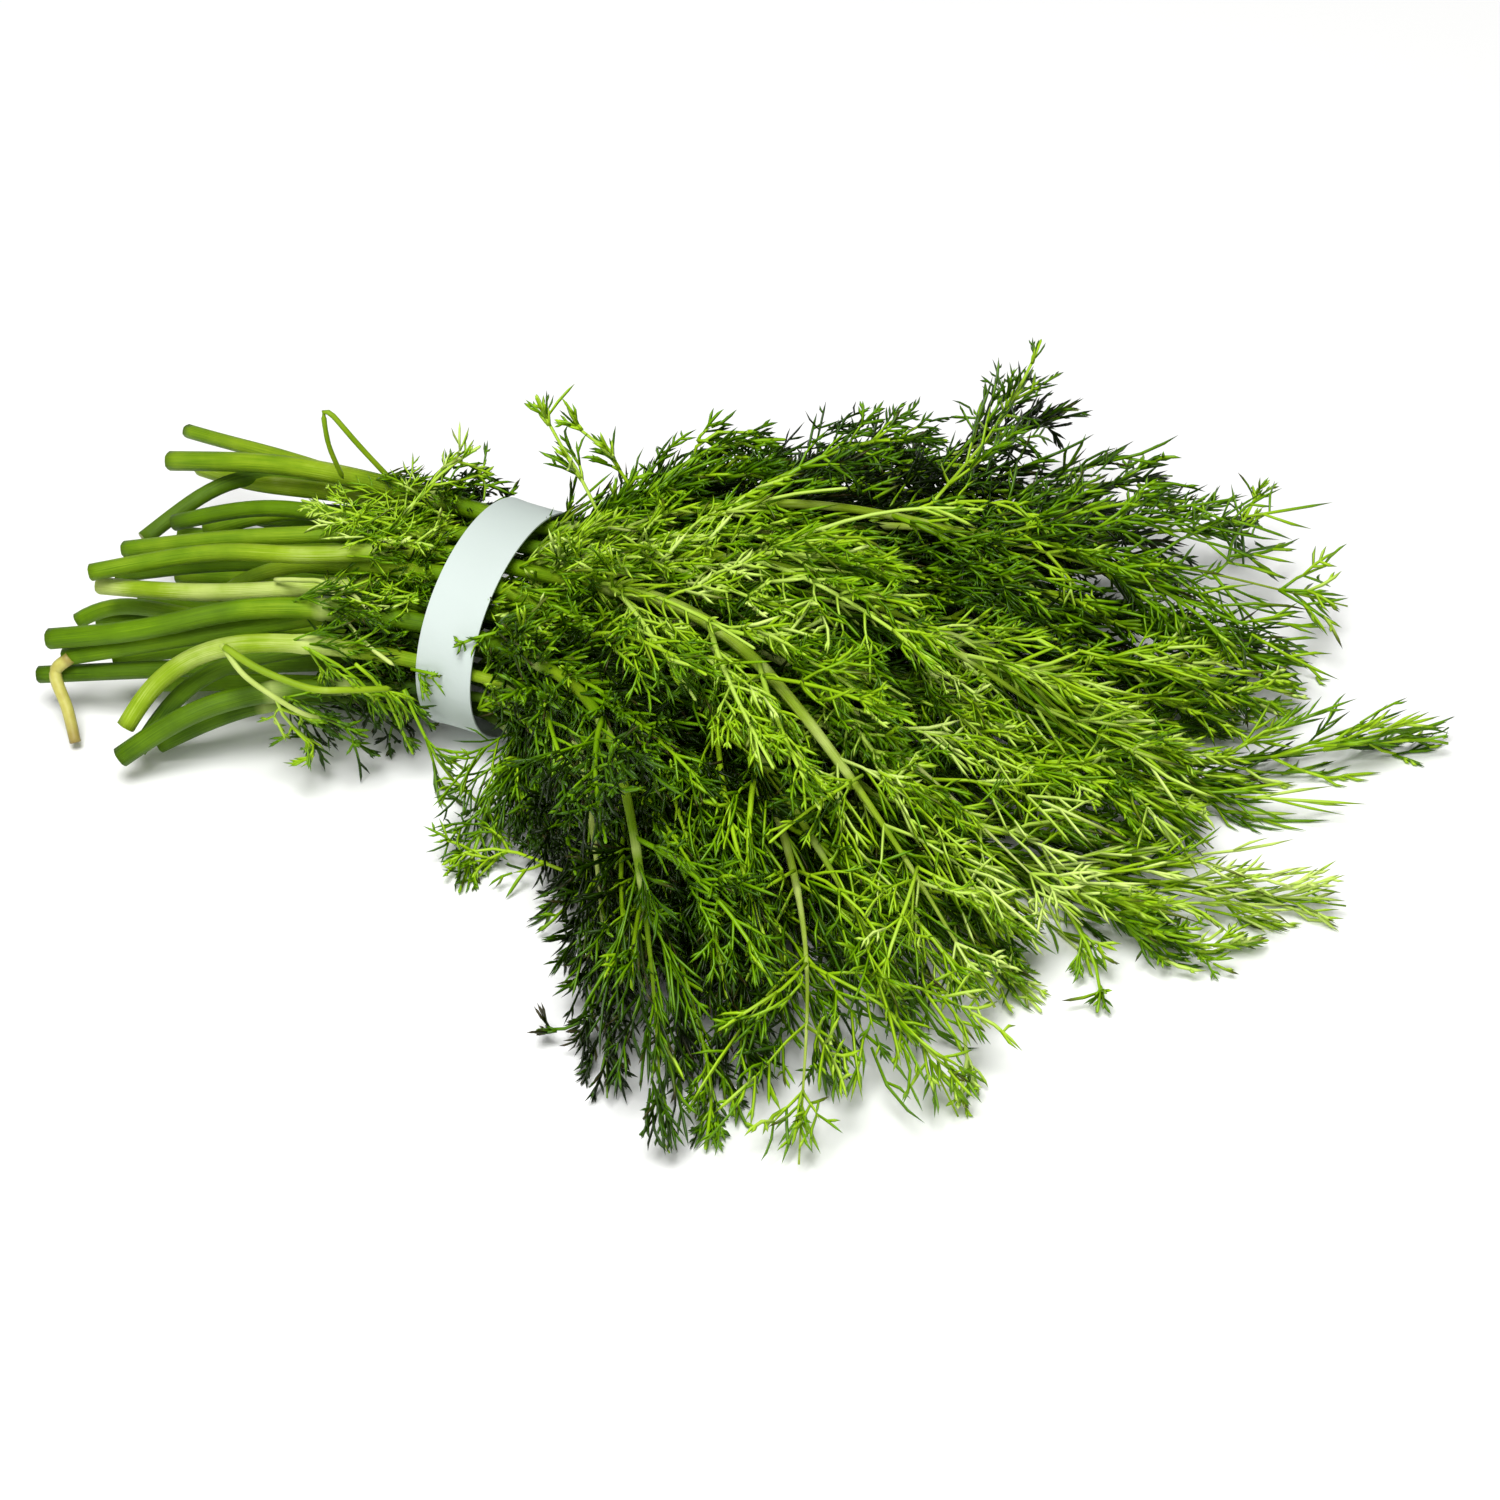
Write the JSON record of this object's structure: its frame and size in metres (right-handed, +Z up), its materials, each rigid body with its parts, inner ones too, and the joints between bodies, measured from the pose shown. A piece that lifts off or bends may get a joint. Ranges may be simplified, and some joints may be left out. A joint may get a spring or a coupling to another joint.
{
  "type": "dill bunch",
  "caption": "Tied bunch of fresh dill lying on its side: long cut stems held by a plain paper tie, with feathery fronds fanning out at the other end.",
  "frame": {"origin": "centre of the small flat spot under the tie, on the surface that the bunch lies on", "axes": "+X along the bunch from the cut ends to the frond tips, +Z up from the surface"},
  "size_m": [0.3089, 0.2529, 0.0815],
  "materials": {
    "herb_green": "satin",
    "tie_paper": "matte"
  },
  "bodies": {
    "root": {"stem_01": "herb_green", "stem_02": "herb_green", "stem_03": "herb_green", "stem_04": "herb_green", "stem_05": "herb_green", "stem_06": "herb_green", "stem_07": "herb_green", "stem_08": "herb_green", "stem_09": "herb_green", "stem_10": "herb_green", "stem_11": "herb_green", "stem_12": "herb_green", "stem_13": "herb_green", "stem_14": "herb_green", "stem_15": "herb_green", "stem_16": "herb_green", "stem_17": "herb_green", "stem_18": "herb_green", "stem_19": "herb_green", "stem_20": "herb_green", "stem_21": "herb_green", "stem_22": "herb_green", "stem_23": "herb_green", "stem_24": "herb_green", "stem_25": "herb_green", "stem_26": "herb_green", "stem_27": "herb_green", "stem_28": "herb_green", "stem_29": "herb_green", "stem_30": "herb_green", "tie": "tie_paper"}
  },
  "joints": []
}
